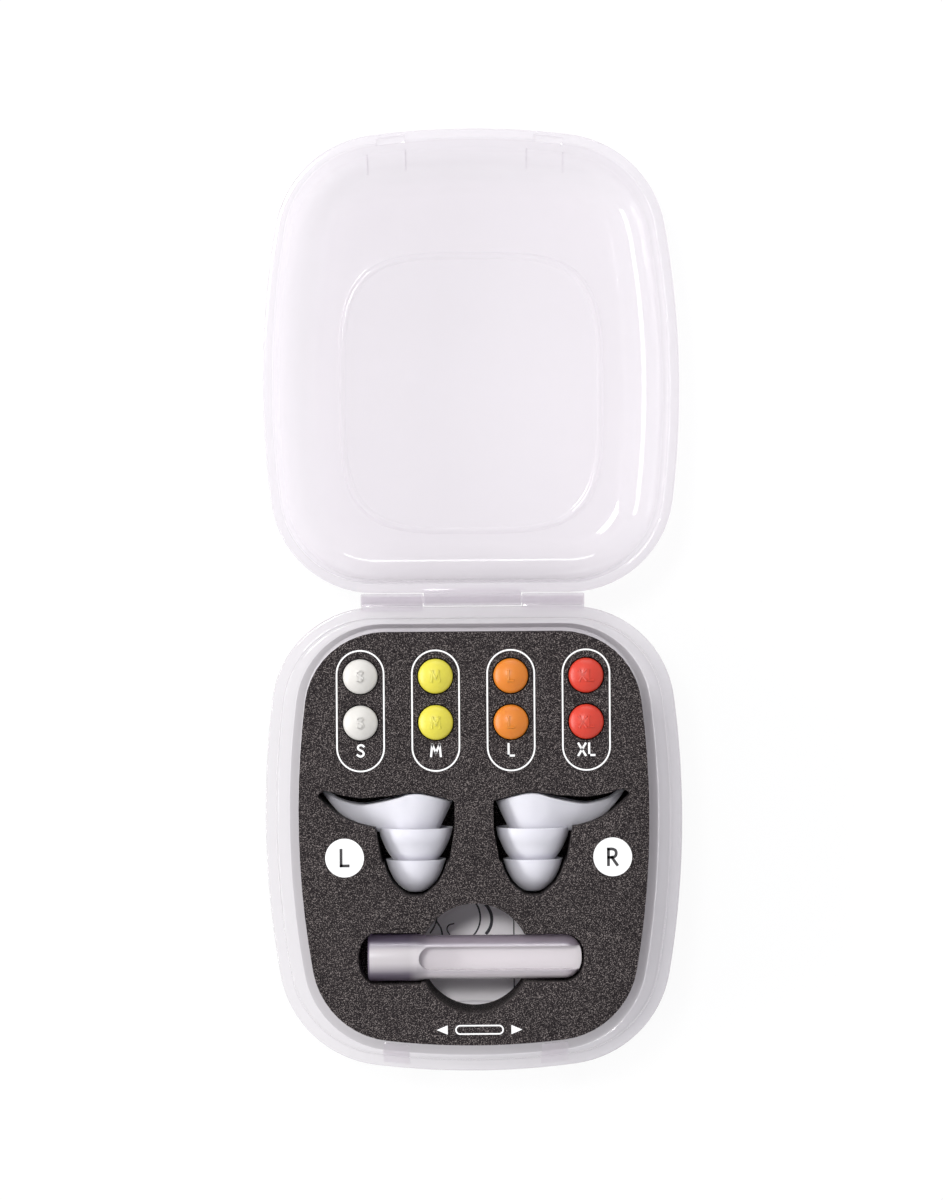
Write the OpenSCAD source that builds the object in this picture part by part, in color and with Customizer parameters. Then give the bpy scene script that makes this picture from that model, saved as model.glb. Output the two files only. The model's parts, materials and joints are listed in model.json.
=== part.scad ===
// Ear plug kit, open flat: a translucent hinged case, a die-cut foam tray on its backing sheet, a folded
// leaflet under them, two flanged silicone ear plugs with fins, eight core inserts in four sizes and an
// applicator. The base lies towards -Y and the lid towards +Y. The origin is on the table, under the hinge
// axis, which runs along X. Lengths are in millimetres.

/* [Case] */
// Width of both shells across the rim
case_w = 72; // [70:0.5:90]
// Length of each shell from its hinge edge to its front
shell_len = 80.2; // [74:0.2:100]
// Thickness of the floor of both shells
floor_t = 1.3; // [0.8:0.1:2.5]
// Thickness of the wall of the lid
lid_wall_t = 1.4; // [1:0.1:2]
// Width of the flat rim of the lid, which meets the flange of the base
rim_w = 1.65; // [1.5:0.05:2.2]
// Height of the thick bead round both rims
bead_h = 1.6; // [1:0.1:2.5]
// Height of the lip of the base, which goes inside the lid
lip_h = 1.5; // [0.8:0.1:2.5]
// Radius of the lid's large inner sweep from its wall to its flat top
lid_sweep_r = 7.6; // [5:0.1:8.5]
// Radius under the base, from its wall to its floor
base_fillet_r = 3; // [2:0.1:4]

/* [Case outline] */
// Radius of the two corners next to the hinge
back_r = 18; // [14:0.5:22]
// Radius of the slow curve of both sides
side_r = 160; // [120:5:240]
// Distance from the hinge edge to the widest place
widest_at = 36; // [30:1:44]
// Radius of the two front corners
corner_r = 19; // [15:0.5:22]
// Radius of the slow curve of the front
front_r = 135; // [90:5:200]

/* [Hinge] */
// Gap from the hinge axis to each shell's edge
hinge_gap = 1.2; // [1.1:0.05:2]
// Radius of the hinge pin
pin_r = 0.6; // [0.4:0.05:0.7]
// Half of the length of the whole row of knuckles
knuckle_reach = 19.3; // [15:0.1:24]
// Half of the length of the lid's middle knuckle
mid_knuckle_half = 8.5; // [5:0.1:12]

/* [Latch] */
// Distance of each catch from the centre line
catch_x = 13.6; // [8:0.1:20]
// Width of each catch
catch_w = 4.5; // [3:0.1:6]
// Height of each catch
catch_h = 1.1; // [0.6:0.1:1.4]

/* [Foam tray] */
// Distance from the rim's edge to the tray at the sides
tray_side = 5.7; // [5.4:0.1:8]
// Distance from the rim's edge to the tray at the hinge and front ends
tray_end = 4.4; // [4.2:0.1:7]
// Height of the tray's top above the seam
tray_proud = 0.2; // [-1:0.1:1]
// Foam left under the deepest pocket
tray_skin = 0.5; // [0.4:0.1:3]
// Thickness of the backing sheet
backing_t = 1.4; // [0.8:0.1:3]
// Thickness of the folded leaflet
leaflet_t = 0.7; // [0.4:0.1:1.5]
// Width of the folded leaflet
leaflet_w = 46; // [36:1:50]
// Length of the folded leaflet
leaflet_len = 58; // [50:1:62]
// Diameter of the finger hole
finger_d = 19; // [17:0.5:22]
// Distance of the finger hole's and the applicator's middle from the shell's front edge
finger_inset = 19.4; // [18.4:0.1:19.9]

/* [Core inserts] */
// Diameter of the domed cap
cap_d = 6; // [5:0.1:6.6]
// Thickness of the cap's cylindrical edge
cap_edge = 0.8; // [0.5:0.1:1.5]
// Height of the cap's dome
dome_h = 1.2; // [0.6:0.1:1.8]
// Length of the stem
stem_len = 8; // [5:0.1:9]
// Stem diameter of the smallest size
stem_d_min = 2.2; // [1.6:0.1:2.6]
// Step in stem diameter from one size to the next
stem_d_step = 0.4; // [0.2:0.05:0.6]
// Distance between the size columns
size_pitch = 13; // [12:0.1:14]
// Distance between the two inserts of one size
pair_pitch = 8; // [7.5:0.1:9]
// Distance from the tray's hinge end to the middle of each pair
pair_inset = 11.6; // [10.4:0.1:12.4]
// Height of the cap's edge that stands out of the foam
cap_proud = 0.2; // [0:0.1:0.6]

/* [Ear plugs] */
// Diameter of the middle flange, the widest round one
flange_d = 12.9; // [11:0.1:13.5]
// Diameter of the front flange
tip_flange_d = 10.4; // [9:0.1:11]
// Distance from the tip to the rim of the front flange
tip_rim_h = 5.8; // [5:0.1:6.5]
// Distance from the tip to the rim of the middle flange
mid_rim_h = 11.3; // [10.5:0.1:12]
// Thickness of the silicone flanges and of the fin
skin_t = 0.6; // [0.4:0.05:0.9]
// Diameter of the core, which carries the flanges
core_d = 5.6; // [4.8:0.1:6.4]
// Diameter of the bore that takes a core insert
core_bore_d = 3.2; // [2.4:0.1:3.6]
// Height of the flange above the foam
plug_proud = 0.8; // [0.2:0.1:2]
// Distance of each plug's axis from the centre line
plug_x = 10.2; // [9.8:0.1:11]
// Distance from the middle of the finger hole to the plugs' tips
plug_tip_inset = 11.1; // [10.6:0.1:12]

/* [Applicator] */
// Outer diameter of the cup
cup_d = 8.2; // [7.6:0.1:9]
// Diameter of the cup's bore
cup_bore_d = 6.3; // [6.1:0.1:6.8]
// Depth of the cup's bore
cup_bore_len = 6.5; // [5:0.1:7.5]
// Length of the cup
cup_len = 8.8; // [8:0.1:12]
// Overall length of the applicator
applicator_len = 37; // [32:0.5:40]
// Width of the handle
handle_w = 7.6; // [6.4:0.1:8]
// Width of the thumb recess
recess_w = 4.1; // [3:0.1:4.8]
// Thickness of the web left between the two thumb recesses
web_t = 1.8; // [1.2:0.1:3]
// Height of the applicator above the foam
applicator_proud = 0.9; // [0.2:0.1:2]

/* [Clearances] */
// Between the two rims when closed
seam_gap = 0.1; // [0.05:0.05:0.3]
// Between the lip and the lid
lip_gap = 0.25; // [0.15:0.05:0.4]
// Round the hinge pin
pin_gap = 0.05; // [0.02:0.01:0.1]
// Between neighbouring knuckles, and from knuckle to shell
knuckle_gap = 0.15; // [0.1:0.05:0.3]
// Between the tray and the foot of the wall
tray_gap = 0.25; // [0.15:0.05:0.5]
// Under each loose piece
rest_gap = 0.1; // [0.05:0.05:0.2]
// Round each plug and the applicator in its foam pocket
pocket_gap = 0.4; // [0.3:0.05:0.6]
// Round each insert's cap in its foam pocket
cap_gap = 0.2; // [0.1:0.05:0.4]

/* [Hidden] */
$fn = 48;

// Heights, stacked from the table upwards: the pockets set the tray, and the tray sets the shells.
pocket_d = flange_d + rest_gap - plug_proud;
tray_t = pocket_d + tray_skin;
leaflet_z = floor_t + rest_gap;
backing_z = leaflet_z + leaflet_t + rest_gap;
tray_z = backing_z + backing_t;
tray_top = tray_z + tray_t;
seam_z = tray_top - tray_proud;
rim_z = seam_z - seam_gap / 2;

// Distances from the hinge axis
finger_y = hinge_gap + shell_len - finger_inset;
plug_tip_y = finger_y - plug_tip_inset;
pair_y = hinge_gap + tray_end + pair_inset;

// Base wall
wall_draft = 1.2;
outer_draft = 0.85;
foot_r = 1.5;
cavity_side = tray_side - tray_gap - wall_draft;
cavity_end = tray_end - tray_gap - wall_draft;
cavity_foot = wall_draft + foot_r;
lip_outset = rim_w + lip_gap;
knuckle_r = hinge_gap - knuckle_gap;
knuckle_web = 1;
catch_outset = 0.9;
edge_cut = 0.3;
lip_draft = 0.15;
lip_round = 0.4;

// Lid wall
bead_step = 0.35;
lid_draft = 0.9;
lid_foot_z = lid_sweep_r + floor_t;
lid_foot_in = lid_draft + lid_wall_t + lid_sweep_r;
panel_half_w = 23;
panel_half_len = 24.5;
panel_y = 36.5;
panel_t = 0.25;
arc_steps = 10;
fillet_steps = 6;

// Outline of a shell, or of what lies in it, for the half at +X: [centre, radius, first and last angle]
// of each arc, from the hinge end round to the front. cut is what an inner outline takes off the radii.
function unit_of(v) = v / norm(v);
function angle_of(v) = atan2(v.y, v.x);
function outline_arcs(half_w, back_y, front_y, cut) =
    let (
        side_c = [half_w - (side_r - cut), -hinge_gap - widest_at],
        back_cy = back_y - (back_r - cut),
        back_c = [side_c.x + sqrt(pow(side_r - back_r, 2) - pow(back_cy - side_c.y, 2)), back_cy],
        front_c = [0, front_y + front_r - cut],
        span = front_c - side_c,
        to_side = side_r - corner_r,
        to_front = front_r - corner_r,
        along = (pow(to_side, 2) - pow(to_front, 2) + span * span) / (2 * norm(span)),
        across = sqrt(pow(to_side, 2) - along * along),
        dir = unit_of(span),
        corner_c = side_c + along * dir + across * [dir.y, -dir.x],
        back_a = angle_of(back_c - side_c),
        side_a = angle_of(corner_c - side_c),
        front_a = angle_of(corner_c - front_c)
    ) [
        [back_c, back_r - cut, 90, back_a],
        [side_c, side_r - cut, back_a, side_a],
        [corner_c, corner_r - cut, side_a, front_a],
        [front_c, front_r - cut, front_a, -180 - front_a]
    ];

// Points of the same outline, moved inwards, as a closed loop
function arc_points(arc, inset, first, last) = [
    for (i = [first:last])
        let (t = arc[2] + (arc[3] - arc[2]) * i / arc_steps)
        arc[0] + (arc[1] - inset) * [cos(t), sin(t)]
];
function loop_points(arcs, inset) =
    let (
        half = [for (a = [0:2]) each arc_points(arcs[a], inset, a == 0 ? 0 : 1, arc_steps)],
        n = len(half)
    )
    concat(half, arc_points(arcs[3], inset, 1, arc_steps - 1),
        [for (i = [n - 1:-1:0]) [-half[i].x, half[i].y]]);
function ring(arcs, inset, z) = [for (p = loop_points(arcs, inset)) [p.x, p.y, z]];

shell_arcs = outline_arcs(case_w / 2, -hinge_gap, -hinge_gap - shell_len, 0);
tray_arcs = outline_arcs(case_w / 2 - tray_side, -hinge_gap - tray_end,
    -hinge_gap - shell_len + tray_end, tray_end);
cavity_arcs = outline_arcs(case_w / 2 - cavity_side, -hinge_gap - cavity_end,
    -hinge_gap - shell_len + cavity_end, cavity_end);

// A closed skin over a stack of rings, each with the same number of points
module loft(rings) {
    n = len(rings[0]);
    last = (len(rings) - 1) * n;
    polyhedron(
        points = [for (r = rings) each r],
        faces = concat(
            [[for (i = [n - 1:-1:0]) i]],
            [for (k = [0:len(rings) - 2], i = [0:n - 1])
                let (j = (i + 1) % n)
                [k * n + i, k * n + j, (k + 1) * n + j, (k + 1) * n + i]],
            [[for (i = [0:n - 1]) last + i]]));
}

module outline_prism(arcs, inset, z0, z1) {
    translate([0, 0, z0]) linear_extrude(z1 - z0) polygon(loop_points(arcs, inset));
}

// Ring between two insets, cut to one catch's width at both catches
module catch_ring(inset0, inset1, z0, z1, w) {
    intersection() {
        difference() {
            outline_prism(shell_arcs, inset0, z0, z1);
            outline_prism(shell_arcs, inset1, z0 - 1, z1 + 1);
        }
        for (side = [-1, 1]) translate([side * catch_x - w / 2, -hinge_gap - shell_len, z0])
            cube([w, shell_len / 4, z1 - z0]);
    }
}

module knuckle(x0, x1) {
    translate([x0, 0, seam_z]) rotate([0, 90, 0]) cylinder(r = knuckle_r, h = x1 - x0);
    translate([x0, -hinge_gap - knuckle_web, seam_z - knuckle_r])
        cube([x1 - x0, hinge_gap + knuckle_web, knuckle_r - seam_gap / 2]);
}

module knuckle_bore() {
    translate([-knuckle_reach - 1, 0, seam_z]) rotate([0, 90, 0])
        cylinder(r = pin_r + pin_gap, h = 2 * knuckle_reach + 2);
}

// Points of a quarter round in a wall's section, as [inset, height], from angle t0 through turn. r is
// its half width and height.
function round_section(centre, r, t0, turn) = [
    for (i = [0:fillet_steps])
        let (t = t0 + turn * i / fillet_steps)
        [centre.x + r.x * cos(t), centre.y + r.y * sin(t)]
];

// Base shell: up the outside, over the flange and the lip, and down into the cavity
base_foot_in = rim_w + outer_draft + base_fillet_r;
base_outside = concat(
    round_section([base_foot_in, base_fillet_r], [base_fillet_r, base_fillet_r], 270, -90),
    [[rim_w, rim_z - bead_h - edge_cut], [edge_cut, rim_z - bead_h], [0, rim_z - bead_h + edge_cut],
     [0, rim_z - edge_cut], [edge_cut, rim_z], [lip_outset, rim_z],
     [lip_outset + lip_draft, rim_z + lip_h - lip_round],
     [lip_outset + lip_draft + lip_round, rim_z + lip_h]]);
base_inside = concat(
    [[0, rim_z + lip_h], [edge_cut, rim_z + lip_h - lip_round]],
    round_section([cavity_foot, floor_t + foot_r], [foot_r, foot_r], 180, 90));

module case_base() {
    color([0.93, 0.92, 0.95, 0.7]) difference() {
        union() {
            loft(concat([for (p = base_outside) ring(shell_arcs, p.x, p.y)],
                [for (p = base_inside) ring(cavity_arcs, p.x, p.y)]));
            catch_ring(catch_outset, lip_outset + 2 * lip_round, rim_z - edge_cut,
                rim_z + catch_h, catch_w);
            knuckle(-knuckle_reach, -mid_knuckle_half - knuckle_gap / 2);
            knuckle(mid_knuckle_half + knuckle_gap / 2, knuckle_reach);
        }
        knuckle_bore();
    }
}

// Lid shell, drawn like the base and turned over to +Y
lid_outside = concat(
    round_section([lid_foot_in, lid_foot_z], [lid_foot_in - lid_draft, lid_foot_z], 270, -90),
    [[bead_step, rim_z - bead_h - bead_step], [0, rim_z - bead_h], [0, rim_z - edge_cut],
     [edge_cut, rim_z]]);
lid_inside = concat(
    [[rim_w, rim_z], [rim_w, rim_z - bead_h + lip_round], [rim_w + lip_draft, rim_z - bead_h - lip_round]],
    round_section([lid_foot_in, lid_foot_z], [lid_sweep_r, lid_sweep_r], 180, 90));

// Slightly raised panel inside the lid: a square with round corners and bulging sides
module lid_panel() {
    bulge = 2 / 3.8;
    polygon([for (a = [0:5:355]) let (c = cos(a), s = sin(a))
        [panel_half_w * sign(c) * pow(abs(c), bulge), panel_half_len * sign(s) * pow(abs(s), bulge)]]);
}

module case_lid() {
    color([0.95, 0.93, 0.96, 0.6]) difference() {
        union() {
            mirror([0, 1, 0]) {
                loft([for (p = concat(lid_outside, lid_inside)) ring(shell_arcs, p.x, p.y)]);
                knuckle(-mid_knuckle_half + knuckle_gap / 2, mid_knuckle_half - knuckle_gap / 2);
            }
            translate([0, panel_y, floor_t / 2]) linear_extrude(panel_t + floor_t / 2) lid_panel();
        }
        mirror([0, 1, 0]) catch_ring(catch_outset - lip_gap, rim_w + 1, rim_z - catch_h - lip_gap,
            rim_z + 1, catch_w + 2 * lip_gap);
        knuckle_bore();
    }
}

// The pin ends just inside the outer knuckles.
module hinge_pin() {
    color([0.93, 0.92, 0.95]) translate([-knuckle_reach + knuckle_gap, 0, seam_z]) rotate([0, 90, 0])
        cylinder(r = pin_r, h = 2 * (knuckle_reach - knuckle_gap));
}

// Core insert: a stem under a domed cap. size counts from 0, the smallest, and row is 0 or 1.
stem_cut = 0.4;
insert_z = tray_top + cap_proud - cap_edge - stem_len;
insert_pocket_z = insert_z - rest_gap;
function insert_at(size, row) = [(size - 1.5) * size_pitch, -pair_y + (0.5 - row) * pair_pitch];
function stem_d(size) = stem_d_min + size * stem_d_step;

module insert(size, row) {
    stem_r = stem_d(size) / 2;
    ball_r = (pow(cap_d / 2, 2) + dome_h * dome_h) / (2 * dome_h);
    at = insert_at(size, row);
    translate([at.x, at.y, insert_z]) rotate_extrude() polygon(concat(
        [[0, 0], [stem_r - stem_cut, 0], [stem_r, stem_cut], [stem_r, stem_len], [cap_d / 2, stem_len],
         [cap_d / 2, stem_len + cap_edge]],
        [for (i = [1:arc_steps]) let (r = cap_d / 2 * (1 - i / arc_steps))
            [r, stem_len + cap_edge + dome_h - ball_r + sqrt(ball_r * ball_r - r * r)]]));
}

module insert_s(row) { color([0.9, 0.89, 0.86]) insert(0, row); }
module insert_m(row) { color([0.89, 0.86, 0.2]) insert(1, row); }
module insert_l(row) { color([0.9, 0.48, 0.13]) insert(2, row); }
module insert_xl(row) { color([0.9, 0.23, 0.16]) insert(3, row); }

// Ear plug, in its own plane: x towards the fin, y along the axis from the tip.
flange_r = flange_d / 2;
tip_r = tip_flange_d / 2;
core_r = core_d / 2;
// Both flanges' outsides, from the axis to the rim, as [radius, distance from the tip]
tip_curve = [[0, 0], [0.23 * tip_r, 0.1], [0.46 * tip_r, 0.17 * tip_rim_h],
    [0.69 * tip_r, 0.36 * tip_rim_h], [0.87 * tip_r, 0.66 * tip_rim_h], [tip_r, tip_rim_h]];
mid_curve = [[core_r, tip_rim_h - 1.4], [0.64 * flange_r, tip_rim_h + 0.15],
    [0.74 * flange_r, tip_rim_h + 1.2], [0.85 * flange_r, tip_rim_h + 2.4],
    [0.93 * flange_r, mid_rim_h - 1.5], [flange_r, mid_rim_h]];
// The bowl's rim, seen from the side, from its short side to the fin's tip
bowl_rim = [[-flange_r, 4.5], [-4.2, 5.2], [-1, 5.9], [1.1, 5.85], [2.9, 5.3], [5.3, 4.7], [7.4, 4.25],
    [9.2, 4], [11, 4.2], [12.5, 4.6], [14, 5.2], [15.4, 6.4]];
// The bowl's underside, from the fin's tip back to the short side
bowl_under = [[16.4, 5.8], [15.2, 4.6], [13.4, 3.1], [11.7, 2.1], [9.9, 1.35], [8.1, 0.9], [6.4, 0.6],
    [5.6, 0.2], [5, -1], [-3.8, -1], [-4.2, 0.2], [-5.1, 1.7], [-5.7, 3.1]];
// The bowl and fin seen along the axis: half of the width at each place
bowl_plan = [[0, flange_r], [2.5, 6], [5, 5], [7.5, 4], [10, 3], [12.5, 2.1], [15, 1.3], [16.2, 0.7]];
bowl_floor = 0.9;
// Room above the rim and the fin in the foam
bowl_room = [[1.1, 5.8], [5, 5.3], [9.5, 5], [13, 5.6], [15.4, 6.4], [9.2, 3.9]];

module bowl_side() { translate([0, mid_rim_h]) polygon(concat(bowl_rim, bowl_under)); }

module bowl_above() {
    n = len(bowl_under);
    translate([0, mid_rim_h]) polygon(concat(
        [[-flange_r - 1, 12], [18, 12], [18, 6.6]],
        [for (i = [1:n - 7]) bowl_under[i] + [0, bowl_floor]],
        [[4.6, bowl_floor], [-3.8, bowl_floor], [-flange_r - 1, 5]]));
}

module bowl_seen_along(inset) {
    circle(r = flange_r - inset);
    polygon(concat([for (p = bowl_plan) [p.x - inset / 2, p.y - inset]],
        [for (i = [len(bowl_plan) - 1:-1:0]) [bowl_plan[i].x - inset / 2, inset - bowl_plan[i].y]]));
}

// Solid of a side view carried through the plug's width, and of a view along its axis
module from_side() { translate([0, 0, -flange_r - 1]) linear_extrude(flange_d + 2) children(); }
module from_end() { rotate([-90, 0, 0]) linear_extrude(mid_rim_h + 12) children(); }

module plug() {
    stem_top = mid_rim_h + bowl_floor;
    rim_t = 0.8 * skin_t;
    difference() {
        union() {
            difference() {
                intersection() {
                    from_side() bowl_side();
                    from_end() bowl_seen_along(0);
                }
                intersection() {
                    from_side() bowl_above();
                    from_end() bowl_seen_along(skin_t);
                }
            }
            rotate([-90, 0, 0]) {
                rotate_extrude() polygon(concat(tip_curve,
                    [[tip_r - rim_t, tip_rim_h], [0.8 * tip_r, 0.75 * tip_rim_h],
                     [core_r, 0.55 * tip_rim_h], [core_r, stem_top], [0, stem_top]]));
                rotate_extrude() polygon(concat(mid_curve,
                    [[flange_r - rim_t, mid_rim_h], [0.82 * flange_r, tip_rim_h + 2.6],
                     [0.6 * flange_r, tip_rim_h + 1.4], [core_r - skin_t / 2, tip_rim_h]]));
            }
        }
        translate([0, tip_rim_h / 2, 0]) rotate([-90, 0, 0]) cylinder(d = core_bore_d, h = mid_rim_h);
    }
}

plug_z = tray_top + plug_proud - flange_r;
module place_plug(side) {
    translate([side * plug_x, -plug_tip_y, plug_z]) mirror([side < 0 ? 1 : 0, 0, 0]) children();
}

// Side view of a whole plug, with room above the fin, for its pocket
module plug_silhouette() {
    bowl_side();
    translate([0, mid_rim_h]) polygon(bowl_room);
    polygon(concat(tip_curve, [[tip_r, tip_rim_h], [0, tip_rim_h + 1], [-tip_r, tip_rim_h]],
        [for (i = [4:-1:1]) [-tip_curve[i].x, tip_curve[i].y]]));
    polygon([[-flange_r, mid_rim_h + 4.5], [-flange_r, mid_rim_h], [-tip_r - 0.3, tip_rim_h],
        [tip_r + 0.3, tip_rim_h], [flange_r, mid_rim_h], [0, mid_rim_h + 4.5]]);
}

module plug_left() { color([0.84, 0.86, 0.92]) place_plug(-1) plug(); }
module plug_right() { color([0.84, 0.86, 0.92]) place_plug(1) plug(); }

// Applicator: a cup on a handle with a thumb recess on both faces
cup_r = cup_d / 2;
handle_r = handle_w / 2;
handle_len = applicator_len - cup_len;
applicator_z = tray_top + applicator_proud - cup_r;
applicator_x = -applicator_len / 2;
cup_edge = 0.5;
handle_end_r = 3.2;
// Round end of the pocket in front of the cup: how far it goes past the cup, and its half axes
pocket_end = pocket_gap + 1.25;
pocket_end_rx = 3.1;
pocket_end_ry = cup_r + pocket_gap;

module recess_plan() {
    translate([recess_w / 2, 0]) circle(d = recess_w);
    translate([recess_w / 2, -recess_w / 2]) square([applicator_len, recess_w]);
}

module handle_plan() {
    straight = handle_len - handle_end_r;
    translate([-1, -handle_r]) square([straight + 1, handle_w]);
    for (side = [-1, 1]) translate([straight, side * (handle_r - handle_end_r)]) circle(r = handle_end_r);
    translate([straight - 1, handle_end_r - handle_r])
        square([handle_end_r + 1, handle_w - 2 * handle_end_r]);
}

module applicator() {
    color([0.82, 0.81, 0.86, 0.6]) translate([applicator_x, -finger_y, applicator_z]) difference() {
        union() {
            rotate([0, 90, 0]) rotate_extrude() polygon([[0, 0], [cup_r - cup_edge, 0], [cup_r, cup_edge],
                [cup_r, cup_len - cup_edge], [cup_r - cup_edge, cup_len], [0, cup_len]]);
            intersection() {
                translate([cup_len - 1, 0, 0]) rotate([0, 90, 0])
                    cylinder(r = handle_r, h = handle_len + 1);
                translate([cup_len, 0, -cup_r]) linear_extrude(cup_d) handle_plan();
            }
        }
        translate([-1, 0, 0]) rotate([0, 90, 0]) cylinder(d = cup_bore_d, h = cup_bore_len + 1);
        for (side = [0, 1]) mirror([0, 0, side])
            translate([cup_len, 0, web_t / 2]) linear_extrude(cup_d) recess_plan();
    }
}

// Foam tray with its pockets, and its backing with the finger hole alone
module applicator_pocket() {
    floor_z = applicator_z - cup_r - rest_gap;
    end_x = pocket_end_rx - pocket_end;
    translate([applicator_x, -finger_y, floor_z]) linear_extrude(tray_t) {
        translate([end_x, 0]) scale([pocket_end_rx / pocket_end_ry, 1]) circle(r = pocket_end_ry);
        translate([end_x, -pocket_end_ry]) square([cup_len + pocket_gap - end_x, 2 * pocket_end_ry]);
        translate([cup_len, 0]) offset(r = pocket_gap) handle_plan();
    }
}

module foam_tray() {
    color([0.17, 0.15, 0.16]) difference() {
        outline_prism(tray_arcs, 0, tray_z, tray_top);
        translate([0, -finger_y, tray_z - 1]) cylinder(d = finger_d, h = tray_t + 2, $fn = 96);
        applicator_pocket();
        for (size = [0:3], row = [0, 1]) let (at = insert_at(size, row))
            translate([at.x, at.y, insert_pocket_z]) cylinder(r = cap_d / 2 + cap_gap, h = tray_t);
        for (side = [-1, 1]) translate([0, 0, -pocket_d + flange_r - plug_proud]) place_plug(side)
            linear_extrude(tray_t + plug_proud) offset(r = pocket_gap) plug_silhouette();
    }
}

module foam_backing() {
    color([0.14, 0.13, 0.14]) difference() {
        outline_prism(tray_arcs, foot_r / 2, backing_z, tray_z);
        translate([0, -finger_y, backing_z - 1]) cylinder(d = finger_d, h = backing_t + 2, $fn = 96);
    }
}

// Folded leaflet under the foam, centred along the tray
leaflet_y = -hinge_gap - shell_len / 2;
leaflet_corner = 1.5;
module leaflet() {
    color([0.95, 0.94, 0.94]) translate([0, leaflet_y, leaflet_z]) linear_extrude(leaflet_t) {
        square([leaflet_w, leaflet_len - 2 * leaflet_corner], center = true);
        square([leaflet_w - 2 * leaflet_corner, leaflet_len], center = true);
        for (sx = [-1, 1], sy = [-1, 1])
            translate([sx * (leaflet_w / 2 - leaflet_corner), sy * (leaflet_len / 2 - leaflet_corner)])
                circle(r = leaflet_corner);
    }
}

case_base();
case_lid();
hinge_pin();
foam_tray();
foam_backing();
leaflet();
insert_s(0);  // insert_s_1
insert_s(1);  // insert_s_2
insert_m(0);  // insert_m_1
insert_m(1);  // insert_m_2
insert_l(0);  // insert_l_1
insert_l(1);  // insert_l_2
insert_xl(0);  // insert_xl_1
insert_xl(1);  // insert_xl_2
plug_left();
plug_right();
applicator();
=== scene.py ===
import json
import math
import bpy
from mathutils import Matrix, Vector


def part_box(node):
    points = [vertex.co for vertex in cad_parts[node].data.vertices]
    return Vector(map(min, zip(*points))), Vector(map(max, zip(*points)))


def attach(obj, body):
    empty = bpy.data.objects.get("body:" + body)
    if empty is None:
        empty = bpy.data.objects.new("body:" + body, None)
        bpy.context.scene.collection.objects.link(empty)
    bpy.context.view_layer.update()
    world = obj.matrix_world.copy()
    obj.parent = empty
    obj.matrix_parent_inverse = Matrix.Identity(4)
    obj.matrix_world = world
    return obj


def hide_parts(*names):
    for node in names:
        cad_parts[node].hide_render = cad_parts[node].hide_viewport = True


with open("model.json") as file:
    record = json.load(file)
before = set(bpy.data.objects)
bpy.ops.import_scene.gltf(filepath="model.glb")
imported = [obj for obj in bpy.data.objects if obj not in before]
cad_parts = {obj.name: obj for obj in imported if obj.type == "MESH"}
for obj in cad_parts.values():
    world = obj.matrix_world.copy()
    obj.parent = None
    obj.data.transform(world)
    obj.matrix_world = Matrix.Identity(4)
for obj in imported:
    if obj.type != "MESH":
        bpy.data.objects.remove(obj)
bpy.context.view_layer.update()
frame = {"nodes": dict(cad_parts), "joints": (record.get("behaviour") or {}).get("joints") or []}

from types import SimpleNamespace

import bmesh
import bpy
from bpy.props import FloatProperty, FloatVectorProperty, PointerProperty
from mathutils import Matrix, Vector

bl_info = {
    "name": "Ear Plug Kit",
    "version": (1, 0, 0),
    "blender": (4, 5, 0),
    "location": "View3D > Sidebar > Ear Plug Kit",
    "description": "Dresses the packed ear plug kit: case, foam tray, plugs, core inserts, applicator and leaflet",
    "category": "Object",
}

# Shapes are made in millimetres and become metres when a piece is finished.
MM = 0.001
NODES = frame["nodes"]
HINGE = next(j for j in frame["joints"] if j["name"] == "lid_hinge")
SIZES = ("s", "m", "l", "xl")


def corners(node):
    """Lowest and highest corner of a CAD node in millimetres."""
    low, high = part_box(node)
    return low / MM, high / MM


BASE_LOW, BASE_HIGH = corners("case_base")
LID_HIGH = corners("case_lid")[1]
TRAY_TOP = corners("foam_tray")[1].z
SEAM_Z = HINGE["pos_m"][2] / MM
# Both rims stop this far below the hinge axis, and neighbouring knuckles leave this much between them.
RIM_Z = SEAM_Z - 0.05
KNUCKLE_GAP = 0.075


def length(name, text, value):
    return FloatProperty(name=name, description=text, default=value * MM, unit="LENGTH", precision=5)


def colour(name, text, value):
    return FloatVectorProperty(name=name, description=text, default=value, subtype="COLOR", size=3, min=0, max=1)


def in_mm(group):
    """The lengths of a property group in millimetres."""
    return SimpleNamespace(**{key: getattr(group, key) / MM for key in group.__annotations__})


# ---------------- sizes and colours

class CaseSizes(bpy.types.PropertyGroup):
    hinge_gap: length("Hinge gap", "From the hinge axis to each shell's edge", 1.2)
    floor_t: length("Floor", "Thickness of both floors", 1.3)
    rim_w: length("Rim width", "Width of the lid's flat rim", 1.65)
    bead_h: length("Bead height", "Height of the thick bead round both rims", 1.6)
    lip_h: length("Lip height", "Height of the base's lip over its rim", 1.5)
    lid_sweep_r: length("Lid sweep", "Radius from the lid's wall to its flat top", 7.6)
    lid_wall_t: length("Lid wall", "Thickness of the lid's wall", 1.4)
    base_fillet_r: length("Base fillet", "Radius under the base", 3.0)
    back_r: length("Back corners", "Radius of the corners next to the hinge", 18)
    side_r: length("Sides", "Radius of the slow curve of the sides", 160)
    widest_at: length("Widest place", "Distance from the hinge edge to the widest place", 36)
    corner_r: length("Front corners", "Radius of the front corners", 19)
    front_r: length("Front", "Radius of the slow curve of the front", 135)
    knuckle_reach: length("Knuckle reach", "Half of the length of the row of knuckles", 19.3)
    mid_knuckle_half: length("Middle knuckle", "Half of the length of the lid's knuckle", 8.5)
    pin_r: length("Pin radius", "Radius of the hinge pin", 0.6)
    catch_x: length("Catch place", "Distance of each catch from the centre line", 13.6)
    catch_w: length("Catch width", "Width of each catch", 4.5)
    catch_h: length("Catch height", "Height of each catch", 1.1)


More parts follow.
